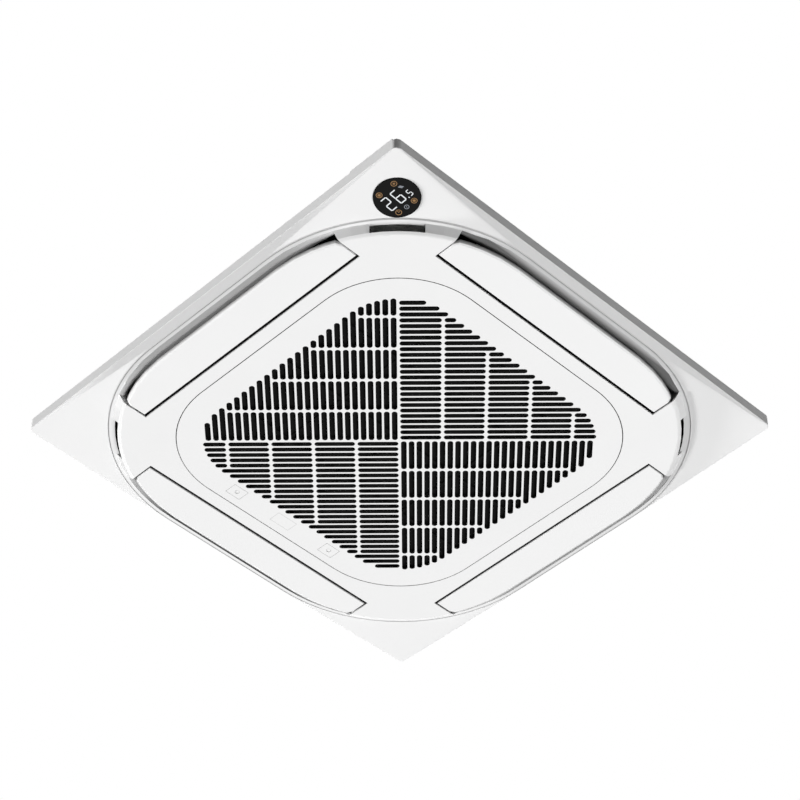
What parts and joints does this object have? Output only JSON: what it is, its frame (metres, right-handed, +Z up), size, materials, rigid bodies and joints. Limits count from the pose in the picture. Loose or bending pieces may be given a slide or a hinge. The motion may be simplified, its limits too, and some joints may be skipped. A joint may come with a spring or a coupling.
{
  "type": "ceiling cassette air conditioner",
  "caption": "Square ceiling cassette with a sloping panel, rounded lip, swinging vanes, slotted hinged intake grille, round display and an insulated casing with fan and coil above.",
  "frame": {"origin": "centre of the four hanging slots, at the underside of their brackets", "axes": "+Z up towards the slab, -Z out of the ceiling into the room, +X towards the grille's hinge side, -Y with +X towards the display corner"},
  "size_m": [0.95, 0.95, 0.3222],
  "materials": {
    "white_plastic": "satin",
    "vane_plastic": "satin",
    "grey_plastic": "matte",
    "pale_plastic": "matte",
    "dark_duct": "matte",
    "dark_filter": "matte",
    "filter_net": "matte",
    "seal_foam": "matte",
    "lens_black": "gloss",
    "circuit_board": "satin",
    "zinc_sheet": "satin",
    "steel": "satin",
    "liner_foam": "matte",
    "pan_foam": "matte",
    "fan_plastic": "matte",
    "motor_metal": "satin",
    "rubber_mount": "matte",
    "fins": "satin",
    "copper": "satin",
    "brass_union": "satin",
    "hose": "matte"
  },
  "bodies": {
    "unit": {"panel_surround": "white_plastic", "outlet_frame": "white_plastic", "outlet_ducts": "dark_duct", "duct_gaskets": "seal_foam", "ceiling_seal": "seal_foam", "panel_screws": "steel", "corner_nozzles": "grey_plastic", "vane_bushes": "pale_plastic", "vane_motors": "steel", "display_bezel": "pale_plastic", "display_lens": "lens_black", "display_board": "circuit_board", "casing_wall": "zinc_sheet", "top_plate": "zinc_sheet", "casing_liner": "liner_foam", "hanger_brackets": "zinc_sheet", "bracket_screws": "steel", "pipe_plate": "zinc_sheet", "bell_mouth": "pale_plastic", "fan_motor": "motor_metal", "motor_mounts": "rubber_mount", "coil_fins": "fins", "coil_end_plates": "zinc_sheet", "return_bends": "copper", "gas_header": "copper", "liquid_header": "copper", "gas_pipe": "copper", "liquid_pipe": "copper", "flare_unions": "brass_union", "drain_pan": "pan_foam", "drain_pump": "pale_plastic", "float_stem": "grey_plastic", "drain_hose": "hose", "drain_spigot": "pale_plastic", "control_box": "zinc_sheet", "control_box_lid": "zinc_sheet", "control_board": "circuit_board", "terminal_block": "pale_plastic"},
    "vane_right": {"vane_right": "vane_plastic"},
    "vane_rear": {"vane_rear": "vane_plastic"},
    "vane_left": {"vane_left": "vane_plastic"},
    "vane_front": {"vane_front": "vane_plastic"},
    "grille": {"intake_grille": "white_plastic", "filter_frame": "dark_filter", "filter_mesh": "filter_net", "hinge_hooks": "steel", "latch_housings": "pale_plastic", "screw_cover": "white_plastic"},
    "latch_a": {"latch_button_a": "white_plastic"},
    "latch_b": {"latch_button_b": "white_plastic"},
    "fan": {"fan_wheel": "fan_plastic", "fan_nut": "steel", "motor_shaft": "steel"},
    "pump_rotor": {"pump_impeller": "grey_plastic"},
    "float_ring": {"float": "pale_plastic"}
  },
  "joints": [
    {"name": "vane_right_swing", "type": "hinge", "parent": "unit", "child": "vane_right", "pos_m": [0.3845, 0, -0.17], "axis": [0, 1, 0], "range_deg": [0, 60]},
    {"name": "vane_rear_swing", "type": "hinge", "parent": "unit", "child": "vane_rear", "pos_m": [0, 0.3845, -0.17], "axis": [-1, 0, 0], "range_deg": [0, 60]},
    {"name": "vane_left_swing", "type": "hinge", "parent": "unit", "child": "vane_left", "pos_m": [-0.3845, 0, -0.17], "axis": [0, -1, 0], "range_deg": [0, 60]},
    {"name": "vane_front_swing", "type": "hinge", "parent": "unit", "child": "vane_front", "pos_m": [0, -0.3845, -0.17], "axis": [1, 0, 0], "range_deg": [0, 60]},
    {"name": "grille_hinge", "type": "hinge", "parent": "unit", "child": "grille", "pos_m": [0.316, 0, -0.181], "axis": [0, -1, 0], "range_deg": [0, 90]},
    {"name": "latch_a_push", "type": "slide", "parent": "grille", "child": "latch_a", "axis": [0, 0, 1], "range_m": [0, 0.003], "stiffness_N_per_m": 300, "springref_m": -0.003},
    {"name": "latch_b_push", "type": "slide", "parent": "grille", "child": "latch_b", "axis": [0, 0, 1], "range_m": [0, 0.003], "stiffness_N_per_m": 300, "springref_m": -0.003},
    {"name": "fan_spin", "type": "hinge", "parent": "unit", "child": "fan", "pos_m": [0, 0, 0.1], "axis": [0, 0, 1], "continuous": true},
    {"name": "pump_spin", "type": "hinge", "parent": "unit", "child": "pump_rotor", "pos_m": [-0.292, 0.258, -0.0768], "axis": [0, 0, 1], "continuous": true},
    {"name": "float_rise", "type": "slide", "parent": "unit", "child": "float_ring", "axis": [0, 0, 1], "range_m": [0, 0.012]}
  ]
}
